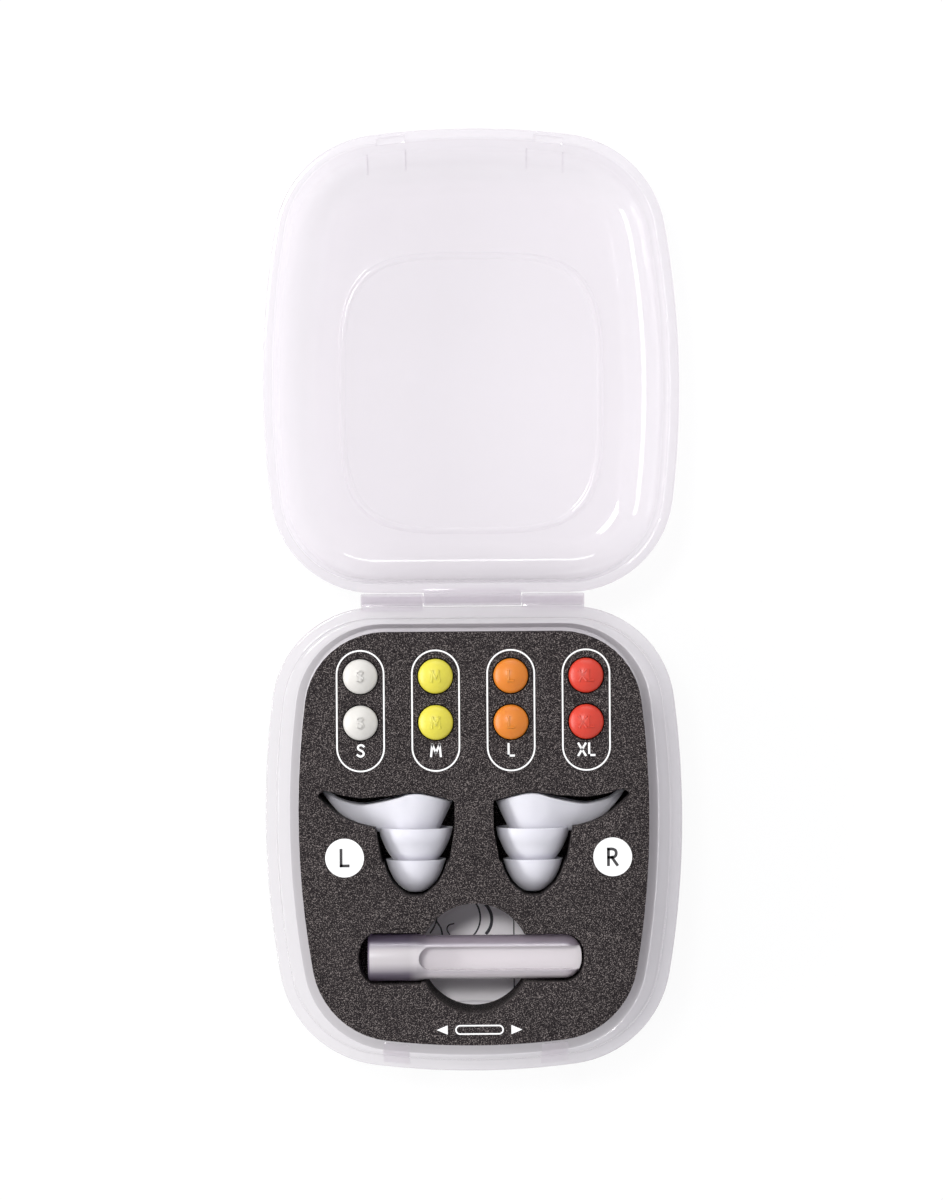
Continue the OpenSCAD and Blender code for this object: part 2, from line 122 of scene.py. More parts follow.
class PlugSizes(bpy.types.PropertyGroup):
    tip_flange_d: length("Front flange", "Diameter of the front flange", 10.4)
    tip_rim_h: length("Front rim", "From the tip to the rim of the front flange", 5.8)
    mid_rim_h: length("Middle rim", "From the tip to the rim of the middle flange", 11.3)
    skin_t: length("Skin", "Thickness of the flanges and the fin", 0.6)
    core_d: length("Core", "Diameter of the core, which carries the flanges", 5.6)


class ApplicatorSizes(bpy.types.PropertyGroup):
    cup_len: length("Cup length", "Length of the cup, from its face to the recesses", 8.8)
    bore_d: length("Cup bore", "Diameter of the cup's bore", 6.3)
    bore_len: length("Bore depth", "Depth of the cup's bore", 6.5)
    handle_r: length("Handle radius", "Radius of the handle", 3.8)
    end_r: length("Handle end", "Radius round the handle's end", 3.2)
    recess_w: length("Recess width", "Width of the thumb recesses", 4.1)
    web_t: length("Web", "Plastic left between the two recesses", 1.8)


class KitColours(bpy.types.PropertyGroup):
    case: colour("Case", "Milky case plastic", (0.80, 0.768, 0.805))
    foam: colour("Foam", "Foam tray", (0.0105, 0.0074, 0.0086))
    silicone: colour("Silicone", "Ear plugs", (0.87, 0.855, 0.935))
    size_s: colour("Size S", "Smallest core inserts", (0.66, 0.64, 0.605))
    size_m: colour("Size M", "Medium core inserts", (0.70, 0.625, 0.066))
    size_l: colour("Size L", "Large core inserts", (0.67, 0.205, 0.018))
    size_xl: colour("Size XL", "Largest core inserts", (0.62, 0.046, 0.024))
    applicator: colour("Applicator", "Frosted applicator", (0.76, 0.715, 0.735))
    paper: colour("Paper", "Leaflet", (0.97, 0.935, 0.955))
    ink: colour("Ink", "Print on the foam", (0.96, 0.955, 0.95))


# ---------------- shape helpers

def smooth_path(points, steps=6, closed=False):
    """A curve through the points, with steps stretches from one to the next."""
    points = [Vector(p) for p in points]
    count = len(points)
    spans = range(count if closed else count - 1)
    at = (lambda i: points[i % count]) if closed else (lambda i: points[min(max(i, 0), count - 1)])
    path = []
    for i in spans:
        a, b, c, d = at(i - 1), at(i), at(i + 1), at(i + 2)
        for k in range(steps):
            t = k / steps
            path.append(0.5 * (2 * b + (c - a) * t + (2 * a - 5 * b + 4 * c - d) * t * t
                               + (3 * b - a - 3 * c + d) * t ** 3))
    return path if closed else path + [points[-1]]


def arc_points(x, y, radius, first, last, steps=24, radius_y=None):
    """Points on the arc of a circle or an ellipse, its angles in degrees."""
    turns = (math.radians(first + (last - first) * i / steps) for i in range(steps + 1))
    return [(x + radius * math.cos(a), y + (radius_y or radius) * math.sin(a)) for a in turns]


def rounded(points, radii, steps=4):
    """An open path with each inner corner rounded to about its radius."""
    path = [points[0]]
    for before, corner, after, radius in zip(points, points[1:], points[2:], radii[1:]):
        back, ahead = before - corner, after - corner
        start = corner + back.normalized() * min(radius, back.length * 0.48)
        end = corner + ahead.normalized() * min(radius, ahead.length * 0.48)
        if radius:
            path += [start.lerp(corner, t / steps).lerp(corner.lerp(end, t / steps), t / steps)
                     for t in range(steps + 1)]
        else:
            path.append(corner)
    return path + [points[-1]]


def skin(bm, rings, closed=True):
    """A quad skin through rings of equally many points, and its vertices as a table of rows."""
    columns = len(rings[0]) - (0 if closed else 1)
    rows = len(rings) - 1
    made = bmesh.ops.create_grid(bm, x_segments=columns, y_segments=rows, size=1)["verts"]
    table = [[None] * (columns + 1) for _ in rings]
    for vert in made:
        column = round((vert.co.x + 1) / 2 * columns)
        row = round((vert.co.y + 1) / 2 * rows)
        table[row][column] = vert
    for row, ring in zip(table, rings):
        for column, vert in enumerate(row):
            vert.co = ring[column % len(ring)]
    if closed:
        seam = [row[i] for row in table for i in (0, columns)]
        bmesh.ops.remove_doubles(bm, verts=seam, dist=1e-5)
        table = [row[:-1] if row[0].is_valid else row[1:] for row in table]
        table = [[v for v in row if v.is_valid] for row in table]
    return table


def cap(bm, ring):
    """One flat face over a closed ring of vertices."""
    bmesh.ops.contextual_create(bm, geom=ring)


def solid(bm, rings):
    """A closed solid: a skin through closed rings, with its first and last ring capped."""
    table = skin(bm, rings)
    cap(bm, table[0])
    cap(bm, table[-1])
    return bm


def revolve(bm, profile, centre, axis, steps=64):
    """A solid of revolution from a closed or axis-to-axis profile."""
    verts = [bm.verts.new(p) for p in profile]
    edges = [bm.edges.new(pair) for pair in zip(verts, verts[1:])]
    bmesh.ops.spin(bm, geom=verts + edges, cent=centre, axis=axis, angle=2 * math.pi, steps=steps,
                   use_merge=True, use_duplicate=False)
    bmesh.ops.remove_doubles(bm, verts=bm.verts[:], dist=1e-5)


def round_edges(bm, edges, width, segments=3):
    bmesh.ops.bevel(bm, geom=edges, offset=width, affect="EDGES", segments=segments, profile=0.5, material=-1,
                    offset_type="OFFSET", clamp_overlap=True)


def block(bm, low, high, bevel):
    """A box between two corners, with its edges rounded."""
    low, high = Vector(low), Vector(high)
    place = Matrix.Translation((low + high) / 2) @ Matrix.Diagonal((*(high - low), 1))
    verts = bmesh.ops.create_cube(bm, size=1, matrix=place)["verts"]
    round_edges(bm, list({edge for vert in verts for edge in vert.link_edges}), bevel)


def flat_shape(loops, low_z, thickness):
    """A bmesh of a flat plate bounded by closed loops, of which the inner ones are holes."""
    curve = bpy.data.curves.new("plate", "CURVE")
    curve.dimensions, curve.fill_mode, curve.extrude = "2D", "BOTH", thickness / 2
    for loop in loops:
        spline = curve.splines.new("POLY")
        spline.points.add(len(loop) - 1)
        for point, (x, y) in zip(spline.points, loop):
            point.co = (x, y, 0, 1)
        spline.use_cyclic_u = True
    return meshed(curve, Matrix.Translation((0, 0, low_z + thickness / 2)))


# Plain capitals as strokes in a box of height 1. A long stroke is a smooth curve.
STROKES = {
    "L": (0.45, [(0, 1), (0, 0)], [(0, 0), (0.45, 0)]),
    "M": (0.84, [(0, 0), (0.1, 1)], [(0.1, 1), (0.42, 0.3)], [(0.42, 0.3), (0.74, 1)], [(0.74, 1), (0.84, 0)]),
    "X": (0.6, [(0, 0), (0.6, 1)], [(0, 1), (0.6, 0)]),
    "R": (0.55, [(0, 0), (0, 1)], [(0.22, 0.47), (0.55, 0)],
          [(0, 1), (0.26, 1), (0.44, 0.92), (0.5, 0.74), (0.44, 0.55), (0.26, 0.47), (0, 0.47)]),
    "S": (0.56, [(0.54, 0.88), (0.40, 0.98), (0.20, 0.97), (0.06, 0.84), (0.08, 0.66), (0.26, 0.54),
                 (0.46, 0.42), (0.55, 0.24), (0.45, 0.06), (0.24, 0.0), (0.02, 0.12)]),
}


def letter_strokes(text, cap_height, centre, weight):
    """The strokes of a short word, centred on a point, each as a list of points."""
    size, gap = cap_height - weight, 0.32
    x = -(sum(STROKES[c][0] for c in text) + gap * (len(text) - 1)) / 2
    found = []
    for c in text:
        width, *strokes = STROKES[c]
        for stroke in strokes:
            points = [Vector((centre[0] + (x + px) * size, centre[1] + (py - 0.5) * size)) for px, py in stroke]
            if len(points) > 2:
                points = smooth_path(points, 5)
            last = (points[-1] - points[-2]).normalized() * weight / 2
            first = (points[0] - points[1]).normalized() * weight / 2
            found.append([points[0] + first] + points[1:-1] + [points[-1] + last])
        x += width + gap
    return found


def letters(text, cap_height, centre, low_z, thickness, weight):
    """A bmesh of flat letters, centred on a point, with strokes of an even weight."""
    bm = bmesh.new()
    join(bm, [flat_shape([band(points, weight)], low_z, thickness)
              for points in letter_strokes(text, cap_height, centre, weight)])
    return bm


def new_object(name, data):
    """An object in the scene, at the origin."""
    obj = bpy.data.objects.new(name, data)
    bpy.context.scene.collection.objects.link(obj)
    return obj


def new_mesh(name, bm):
    """A bmesh as a mesh. The bmesh is used up."""
    mesh = bpy.data.meshes.new(name)
    bm.to_mesh(mesh)
    bm.free()
    return mesh


def meshed(curve, place):
    """A curve as a bmesh at its place. The curve is used up."""
    maker = new_object("maker", curve)
    graph = bpy.context.evaluated_depsgraph_get()
    mesh = bpy.data.meshes.new_from_object(maker.evaluated_get(graph))
    bm = bmesh.new()
    bm.from_mesh(mesh)
    bmesh.ops.remove_doubles(bm, verts=bm.verts[:], dist=1e-4)
    bm.transform(place)
    bpy.data.objects.remove(maker)
    bpy.data.curves.remove(curve)
    bpy.data.meshes.remove(mesh)
    return bm


def join(bm, others):
    """Adds other bmeshes to bm."""
    for other in others:
        carrier = new_mesh("carrier", other)
        bm.from_mesh(carrier)
        bpy.data.meshes.remove(carrier)


def copy_of(node):
    """A CAD node's mesh in millimetres, merged into a clean closed shell."""
    bm = bmesh.new()
    bm.from_mesh(NODES[node].data)
    bm.transform(Matrix.Scale(1 / MM, 4))
    bmesh.ops.remove_doubles(bm, verts=bm.verts[:], dist=1e-4)
    bmesh.ops.dissolve_limit(bm, angle_limit=math.radians(0.6), verts=bm.verts[:], edges=bm.edges[:])
    return bm


def carved(obj, cutters):
    """obj's mesh less the closed bmeshes in cutters."""
    for bm in cutters:
        mesh = new_mesh("cutter", bm)
        mesh.transform(Matrix.Scale(MM, 4))
        tool = new_object("cutter", mesh)
        cut = obj.modifiers.new("cut", "BOOLEAN")
        cut.operation, cut.object, cut.solver = "DIFFERENCE", tool, "EXACT"
        graph = bpy.context.evaluated_depsgraph_get()
        done = bpy.data.meshes.new_from_object(obj.evaluated_get(graph))
        obj.modifiers.clear()
        old, obj.data = obj.data, done
        bpy.data.objects.remove(tool)
        bpy.data.meshes.remove(mesh)
        bpy.data.meshes.remove(old)
        done.name = obj.name
    return obj


def finish_piece(name, bm, body, material, nodes=(), sharp=38, recalculate=True):
    """Makes a bmesh in millimetres a piece that rides on a body and stands for its CAD nodes."""
    if recalculate:
        bmesh.ops.recalc_face_normals(bm, faces=bm.faces[:])
    bm.transform(Matrix.Scale(MM, 4))
    obj = new_object(name, new_mesh(name, bm))
    obj.data.materials.append(material)
    shade(obj, sharp)
    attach(obj, body)
    if nodes:
        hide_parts(*nodes)
    return obj


def shade(obj, sharp):
    """Smooth shading, with a crease where faces meet at more than the angle."""
    obj.data.polygons.foreach_set("use_smooth", [True] * len(obj.data.polygons))
    obj.data.set_sharp_from_angle(angle=math.radians(sharp))


# ---------------- outline of the shells

def outline_arcs(case, half_w, back_y, front_y, cut):
    """The half outline at +X as arcs: centre, radius, first and last angle. The shell lies at -Y."""
    side_c = Vector((half_w - (case.side_r - cut), -case.hinge_gap - case.widest_at))
    back_cy = back_y - (case.back_r - cut)
    reach = (case.side_r - case.back_r) ** 2 - (back_cy - side_c.y) ** 2
    back_c = Vector((side_c.x + math.sqrt(reach), back_cy))
    front_c = Vector((0, front_y + case.front_r - cut))
    span = front_c - side_c
    to_side, to_front = case.side_r - case.corner_r, case.front_r - case.corner_r
    along = (to_side ** 2 - to_front ** 2 + span.length_squared) / (2 * span.length)
    across = math.sqrt(to_side ** 2 - along ** 2)
    way = span.normalized()
    corner_c = side_c + along * way + across * Vector((way.y, -way.x))
    back_a, side_a, front_a = (math.atan2(v.y, v.x) for v in
                               (back_c - side_c, corner_c - side_c, corner_c - front_c))
    quarter = math.pi / 2
    return [(back_c, case.back_r - cut, quarter, back_a), (side_c, case.side_r - cut, back_a, side_a),
            (corner_c, case.corner_r - cut, side_a, front_a), (front_c, case.front_r - cut, front_a, -quarter)]


def outline(arcs, inset, steps=(14, 18, 16, 10), straight=10):
    """Closed loop of points on the arcs, moved inwards, with the hinge edge filled in."""
    half = []
    for (centre, radius, first, last), count in zip(arcs, steps):
        for i in range(count):
            turn = first + (last - first) * i / count
            half.append(centre + (radius - inset) * Vector((math.cos(turn), math.sin(turn))))
    centre, radius = arcs[3][0], arcs[3][1]
    front = centre - Vector((0, radius - inset))
    loop = half + [front] + [Vector((-p.x, p.y)) for p in reversed(half)]
    edge = [loop[-1].lerp(loop[0], i / straight) for i in range(1, straight)]
    return loop + edge


def shell_rings(section, turn_over):
    """Rings of a shell from its section: each entry is (outline points, height, corner radius)."""
    columns = []
    for i in range(len(section[0][0])):
        points = [Vector((loop[i].x, loop[i].y, z)) for loop, z, _ in section]
        columns.append(rounded(points, [r for _, _, r in section]))
    rings = [list(ring) for ring in zip(*columns)]
    return [[Vector((p.x, -p.y, p.z)) for p in ring] for ring in rings] if turn_over else rings


def knuckle(bm, case, x0, x1, side):
    """One hinge knuckle with its bore, and the web that ties it to the shell at that side."""
    outer, bore, edge = case.hinge_gap - 0.15, case.pin_r + 0.05, 0.15
    profile = [(x0, bore), (x1, bore), (x1, outer - edge), (x1 - edge, outer), (x0 + edge, outer),
               (x0, outer - edge), (x0, bore)]
    revolve(bm, [(x, 0, SEAM_Z + r) for x, r in profile], (0, 0, SEAM_Z), (1, 0, 0), steps=32)
    near, far = side * (bore + 0.05), side * (case.hinge_gap + 0.8)
    block(bm, (x0 + 0.02, min(near, far), SEAM_Z - outer), (x1 - 0.02, max(near, far), SEAM_Z - 0.06), 0.12)


# ---------------- materials

class Nodes:
    """A short way to write the nodes of a tree. A node stands for its first output."""

    def __init__(self, tree, output=None):
        self.tree = tree
        tree.nodes.clear()
        self.output = output and tree.nodes.new(output)

    def add(self, kind, inputs=None, **settings):
        node = self.tree.nodes.new("ShaderNode" + kind)
        for key, value in settings.items():
            setattr(node, key, value)
        for key, value in (inputs or {}).items():
            self.feed(node.inputs[key], value)
        return node

    def feed(self, socket, value):
        """Links a node or a socket to a socket, or sets its value."""
        if isinstance(value, bpy.types.Node):
            value = value.outputs[0]
        if isinstance(value, bpy.types.NodeSocket):
            self.tree.links.new(value, socket)
        else:
            socket.default_value = value

    def math(self, operation, a, b):
        return self.add("Math", {0: a, 1: b}, operation=operation)

    def mapped(self, value, start, end, low=0.0, high=1.0):
        """The value taken from start..end to low..high, and held there."""
        return self.add("MapRange", {"Value": value, "From Min": start, "From Max": end,
                                     "To Min": low, "To Max": high})

    def colour(self, share, first, second):
        """A colour between two, where share is the second one's."""
        mix = self.add("Mix", {"Factor": share, "A": first, "B": second}, data_type="RGBA")
        return mix.outputs["Result"]

    def tinted(self, base, mask, darker, lighter):
        """The base colour made a little darker or lighter by a mask."""
        return self.colour(mask, [c * darker for c in base] + [1], [min(c * lighter, 1) for c in base] + [1])

    def shader(self, share, first, second):
        """Two shaders mixed, where share is the second one's."""
        return self.add("MixShader", {0: share, 1: first, 2: second})

    def glossy_over(self, under, roughness, ior=1.46, **more):
        """A clear gloss on the outer side of another shader."""
        shine = self.add("BsdfGlossy", {"Color": (1, 1, 1, 1), "Roughness": roughness, **more})
        outer = self.math("SUBTRACT", 1.0, self.inner_side())
        return self.shader(self.math("MULTIPLY", self.add("Fresnel", {"IOR": ior}), outer), under, shine)

    def place(self):
        return self.add("TexCoord").outputs["Object"]

    def axis(self, name):
        return self.add("SeparateXYZ", {0: self.place()}).outputs[name]

    def facing(self):
        return self.add("LayerWeight", {"Blend": 0.5}).outputs["Facing"]

    def inner_side(self):
        return self.add("NewGeometry").outputs["Backfacing"]

    def noise(self, scale, detail):
        return self.add("TexNoise", {"Vector": self.place(), "Scale": scale, "Detail": detail}).outputs["Fac"]

    def bump(self, height, distance, strength):
        return self.add("Bump", {"Height": height, "Distance": distance, "Strength": strength}).outputs["Normal"]

    def grain(self, scale, strength, depth=0.00002):
        """Outputs of the shared grain: Mask and Normal."""
        inputs = {"Scale": scale, "Strength": strength, "Depth": depth}
        return self.add("Group", inputs, node_tree=surface_grain()).outputs


def surface_grain():
    """The shared group: fine grain for moulded pieces, as a mask and a normal from noise."""
    if "surface_grain" in bpy.data.node_groups:
        return bpy.data.node_groups["surface_grain"]
    tree = bpy.data.node_groups.new("surface_grain", "ShaderNodeTree")
    for label, default in (("Scale", 900.0), ("Depth", 0.00002), ("Strength", 0.3)):
        socket = tree.interface.new_socket(name=label, in_out="INPUT", socket_type="NodeSocketFloat")
        socket.default_value = default
    for label, kind in (("Mask", "NodeSocketFloat"), ("Normal", "NodeSocketVector")):
        tree.interface.new_socket(name=label, in_out="OUTPUT", socket_type=kind)
    n = Nodes(tree)
    source = tree.nodes.new("NodeGroupInput").outputs
    sink = tree.nodes.new("NodeGroupOutput").inputs
    speck = n.noise(source["Scale"], 3.0)
    n.feed(sink["Mask"], speck)
    n.feed(sink["Normal"], n.bump(speck, source["Depth"], source["Strength"]))
    return tree


def material(maker, *arguments, name=None):
    """A material, made the first time that it is asked for. Its maker returns the finished shader."""
    name = name or maker.__name__
    if name in bpy.data.materials:
        return bpy.data.materials[name]
    made = bpy.data.materials.new(name)
    made.use_nodes = True
    n = Nodes(made.node_tree, "ShaderNodeOutputMaterial")
    n.feed(n.output.inputs["Surface"], maker(n, *arguments))
    return made


def colours():
    return bpy.context.scene.kit_colours


def scatter(weight, scale):
    """A principled shader's inputs for light that spreads under the surface, over scale metres."""
    return {"Subsurface Weight": weight, "Subsurface Radius": (1.0, 1.0, 1.0), "Subsurface Scale": scale}


def milky_plastic(n):
    """Milky clear polypropylene: part of the light goes straight through, and part is spread.
    It is denser where it is met at a slant, and the base lets more through than the lid,
    so that the painted shadow on the floor under the base shows through it."""
    case, normal = colours().case, n.grain(260.0, 0.1, 0.00003)["Normal"]
    body = n.add("BsdfPrincipled", {
        "Base Color": n.tinted(case, n.noise(28.0, 2.0), 0.96, 1.02), "Roughness": 0.4, "IOR": 1.49,
        "Specular IOR Level": 0.2, "Normal": normal})
    spread = n.add("BsdfTranslucent", {"Color": [*case, 1]})
    clear = n.add("BsdfTransparent", {"Color": (0.975, 0.965, 0.975, 1)})
    by_slant = n.mapped(n.facing(), 0.0, 1.0, 0.4, 0.18)
    # The base is clearer so that the painted shadow on the floor under it shows through.
    by_shell = n.mapped(n.axis("Y"), -0.012, 0.0, 0.25, 0.0)
    share = n.math("MAXIMUM", n.math("ADD", by_slant, by_shell), n.inner_side())
    return n.glossy_over(n.shader(share, n.shader(0.68, body, spread), clear), 0.07, Normal=normal)


def speckled_foam(n):
    """Closed-cell foam: dark, with a fine light speckle and open cells."""
    cells = n.add("TexVoronoi", {"Vector": n.place(), "Scale": 5200.0, "Randomness": 1.0})
    speckle = n.mapped(n.noise(6400.0, 1.0), 0.54, 0.73)
    base = n.tinted(colours().foam, n.noise(120.0, 3.0), 0.75, 1.25)
    return n.add("BsdfPrincipled", {
        "Base Color": n.colour(speckle, base, (0.27, 0.235, 0.225, 1)), "Roughness": 0.9,
        "Specular IOR Level": 0.25, "Normal": n.bump(cells.outputs["Distance"], 0.0001, 0.5)})


def satin_silicone(n):
    """Translucent satin silicone, clearer towards its edges."""
    base, grain = colours().silicone, n.grain(700.0, 0.08)
    body = n.add("BsdfPrincipled", {
        "Base Color": n.tinted(base, grain["Mask"], 0.97, 1.02), "Roughness": 0.33, "IOR": 1.42,
        "Sheen Weight": 0.8, "Sheen Roughness": 0.3, **scatter(0.6, 0.0012), "Normal": grain["Normal"]})
    spread = n.add("BsdfTranslucent", {"Color": [*base, 1]})
    clear = n.add("BsdfTransparent", {"Color": (0.90, 0.92, 0.97, 1)})
    share = n.mapped(n.facing(), 0.5, 1.0, 0.04, 0.35)
    return n.glossy_over(n.shader(share, n.shader(0.12, body, spread), clear), 0.16, 1.42)


def core_plastic(n, size):
    """Satin soft plastic in one size's colour."""
    grain = n.grain(1500.0, 0.15)
    return n.add("BsdfPrincipled", {
        "Base Color": n.tinted(getattr(colours(), "size_" + size), grain["Mask"], 0.95, 1.04),
        "Roughness": 0.36, **scatter(0.3, 0.0005), "Normal": grain["Normal"]})


def frosted_plastic(n):
    """Clear plastic with a fine frosting: bright where it is met square on, glassy towards its edges.
    The cup is painted darker as shade, the upper side towards +Y is painted dark violet as shade,
    and the handle's lower side is painted brighter as light, with more frost and less glass."""
    base, normal = colours().applicator, n.grain(2200.0, 0.25)["Normal"]
    handle = n.mapped(n.axis("X"), -0.0115, -0.008)
    # Painted shade: the upper side, towards +Y, of cup and handle turns dark violet.
    upper = n.mapped(n.axis("Y"), -0.0603, -0.0594, 0.0, 0.6)
    # Painted light: the handle's lower side gets more frost and less glass, so it looks brighter.
    lower = n.math("MULTIPLY", n.mapped(n.axis("Y"), -0.0638, -0.0650), handle)
    # Painted shade: the cup's frost is darker than the handle's.
    cup_painted_shade = n.colour(handle, [c * 0.78 for c in base] + [1], [*base, 1])
    frost = n.add("BsdfPrincipled", {
        "Base Color": n.colour(upper, cup_painted_shade, (0.22, 0.18, 0.27, 1)), "Roughness": 0.3, "IOR": 1.5,
        **scatter(0.5, 0.001), "Normal": normal})
    # Painted shade: the glass in the cup is darker than the glass in the handle.
    depth = n.colour(handle, (0.42, 0.35, 0.48, 1), (0.80, 0.73, 0.81, 1))
    glass = n.add("BsdfPrincipled", {
        "Base Color": depth, "Roughness": 0.14, "IOR": 1.5, "Transmission Weight": 0.8, "Normal": normal})
    glassy = n.shader(0.4, glass, n.add("BsdfTranslucent", {"Color": depth}))
    share = n.math("MULTIPLY", n.mapped(n.facing(), 0.03, 0.27, 0.12, 0.9), n.mapped(lower, 0.0, 1.0, 1.0, 0.15))
    return n.glossy_over(n.shader(share, frost, glassy), 0.2)


def printed_paper(n):
    """Matt printed paper with a faint fibre."""
    fibre = n.noise(900.0, 4.0)
    return n.add("BsdfPrincipled", {
        "Base Color": n.tinted(colours().paper, fibre, 0.96, 1.03), "Roughness": 0.75,
        "Normal": n.bump(fibre, 0.00002, 0.3)})


def ink(n, base):
    """Printed ink, slightly broken by the surface under it."""
    broken = n.tinted(base, n.noise(2600.0, 2.0), 0.86, 1.04)
    return n.add("BsdfPrincipled", {"Base Color": broken, "Roughness": 0.6})


# ---------------- operators: one per group of pieces

class KIT_OT_base(bpy.types.Operator):
    """Base shell with its flange, lip, catches and outer knuckles"""

    bl_idname = "kit.base"
    bl_label = "Base shell"

    def execute(self, context):
        case = in_mm(context.scene.kit_case)
        half_w, front_y = BASE_HIGH.x, BASE_LOW.y
        shell = outline_arcs(case, half_w, -case.hinge_gap, front_y, 0)
        side, end, draft, foot = 4.25, 2.95, 1.2, 1.5
        cavity = outline_arcs(case, half_w - side, -case.hinge_gap - end, front_y + end, end)
        lip, under, lip_top = case.rim_w + 0.25, RIM_Z - case.bead_h, RIM_Z + case.lip_h
        section = [(shell, 2.5 + case.base_fillet_r, 0, 0), (shell, 2.5, 0, case.base_fillet_r),
                   (shell, case.rim_w + 0.3, under - 2.2, 1.5), (shell, case.rim_w, under, 0.3),
                   (shell, 0, under, 0.35), (shell, 0, RIM_Z, 0.35), (shell, lip, RIM_Z, 0.2),
                   (shell, lip + 0.2, lip_top, 0.5), (cavity, 0, lip_top, 0.35),
                   (cavity, draft, case.floor_t, foot), (cavity, draft + foot, case.floor_t, 0)]
        rings = shell_rings([(outline(arcs, inset), z, r) for arcs, inset, z, r in section], False)
        bm = solid(bmesh.new(), rings)
        inner_end = case.mid_knuckle_half + KNUCKLE_GAP
        for x0, x1 in ((-case.knuckle_reach, -inner_end), (inner_end, case.knuckle_reach)):
            knuckle(bm, case, x0, x1, -1)
        for x in (-case.catch_x, case.catch_x):
            join(bm, [catch_band(shell, x, case.catch_w, 0.9, lip + 0.6, RIM_Z - 0.4, RIM_Z + case.catch_h),
                      catch_band(shell, x, case.catch_w, lip + 0.35, lip + 2.3, lip_top - 0.3, lip_top + 0.08)])
        finish_piece("base_shell", bm, "base", material(milky_plastic), ["case_base"])
        return {"FINISHED"}


class KIT_OT_lid(bpy.types.Operator):
    """Lid shell with its rim, label panel, latch notches and middle knuckle"""

    bl_idname = "kit.lid"
    bl_label = "Lid shell"

    def execute(self, context):
        case = in_mm(context.scene.kit_case)
        half_w, front_y = LID_HIGH.x, -LID_HIGH.y
        shell = outline_arcs(case, half_w, -case.hinge_gap, front_y, 0)
        under, step, draft = RIM_Z - case.bead_h, 0.35, 0.9
        foot_z = case.lid_sweep_r + case.floor_t
        foot_in = draft + case.lid_wall_t + case.lid_sweep_r
        outer = arc_points(foot_in, foot_z, foot_in - draft, 270, 180, 14, foot_z)
        inner = arc_points(foot_in, foot_z, case.lid_sweep_r, 180, 270, 14)
        section = [(a, z, 0) for a, z in outer]
        section += [(step, under - step, 0.4), (0, under, 0.3), (0, RIM_Z, 0.35), (case.rim_w, RIM_Z, 0.3),
                    (case.rim_w + 0.15, under - 0.4, 0.5)]
        section += [(a, z, 0) for a, z in inner]
        loops = [(outline(shell, inset), z, r) for inset, z, r in section]
        panel_y, panel_w, panel_l, panel_t = 36.5, 23.0, 24.5, 0.42
        floor_loop = loops[-1][0]
        for grow, height, r in ((0.4, 0, 0.1), (0, panel_t, 0.15), (-0.5, panel_t, 0.15),
                                (-0.8, panel_t - 0.2, 0.15), (-4, panel_t - 0.2, 0)):
            loop = panel_loop(floor_loop, panel_y, panel_w + grow, panel_l + grow)
            loops.append((loop, case.floor_t + height, r))
        rings = shell_rings(loops, True)
        bm = solid(bmesh.new(), rings)
        plastic = material(milky_plastic)
        lid = finish_piece("lid_shell", bm, "lid", plastic, ["case_lid"])
        notches = [catch_band(shell, x, case.catch_w + 0.5, 0.65, case.rim_w + 1, RIM_Z - 1.35, RIM_Z + 1)
                   for x in (-case.catch_x, case.catch_x)]
        for notch in notches:
            notch.transform(Matrix.Diagonal((1, -1, 1, 1)))
            bmesh.ops.reverse_faces(notch, faces=notch.faces[:])
        shade(carved(lid, notches), 38)
        bm = bmesh.new()
        half = case.mid_knuckle_half - KNUCKLE_GAP
        knuckle(bm, case, -half, half, 1)
        join(bm, [wall_rib(shell, inner[:9], x) for x in (-17.9, -11.2, 10.0, 16.4)])
        finish_piece("lid_details", bm, "lid", plastic)
        return {"FINISHED"}


def front_points(arcs, inset, places):
    """The points of an outline's front edge, moved inwards, that are nearest to the given x places."""
    centre, radius = arcs[3][:2]
    front = [p for p in outline(arcs, inset, steps=(4, 60, 90, 90)) if p.y < centre.y - 0.9 * radius]
    return [min(front, key=lambda p: abs(p.x - x)) for x in places]


def catch_band(arcs, x, width, outset, inset, low_z, high_z):
    """A bevelled block that follows the front edge between two insets, centred on x."""
    places = [x + width * (i / 6 - 0.5) for i in range(7)]
    rows = [front_points(arcs, depth, places) for depth in (outset, inset)]
    bm = flat_shape([[(p.x, p.y) for p in rows[0]] + [(p.x, p.y) for p in reversed(rows[1])]],
                    low_z, high_z - low_z)
    round_edges(bm, [e for e in bm.edges if e.calc_face_angle(0) > 0.8], 0.1, 2)
    return bm


def wall_rib(arcs, section, x, half_w=0.12, height=0.07):
    """A thin rib at x down the front wall's inner face, whose section is (inset, height) pairs."""
    path = [Vector((x, -front_points(arcs, inset, [x])[0].y, z)) for inset, z in section]
    rings = []
    for i, p in enumerate(path):
        way = (path[min(i + 1, len(path) - 1)] - path[max(i - 1, 0)]).normalized()
        out = Vector((0, way.z, -way.y)) * (1 if way.z < 0 or way.y < 0 else -1)
        side = Vector((half_w, 0, 0))
        rings.append([p - side - out * 0.1, p + side - out * 0.1, p + side * 0.6 + out * height,
                      p - side * 0.6 + out * height])
    return solid(bmesh.new(), rings)


def panel_loop(loop, centre_y, half_w, half_l, bulge=3.8):
    """The label panel's outline, a square with bulging sides, with a point towards each of loop's."""
    points = []
    for p in loop:
        turn = math.atan2(p.y + centre_y, p.x)
        c, s = abs(math.cos(turn)), abs(math.sin(turn))
        reach = ((c / half_w) ** bulge + (s / half_l) ** bulge) ** (-1 / bulge)
        points.append(Vector((reach * math.cos(turn), -centre_y + reach * math.sin(turn))))
    return points


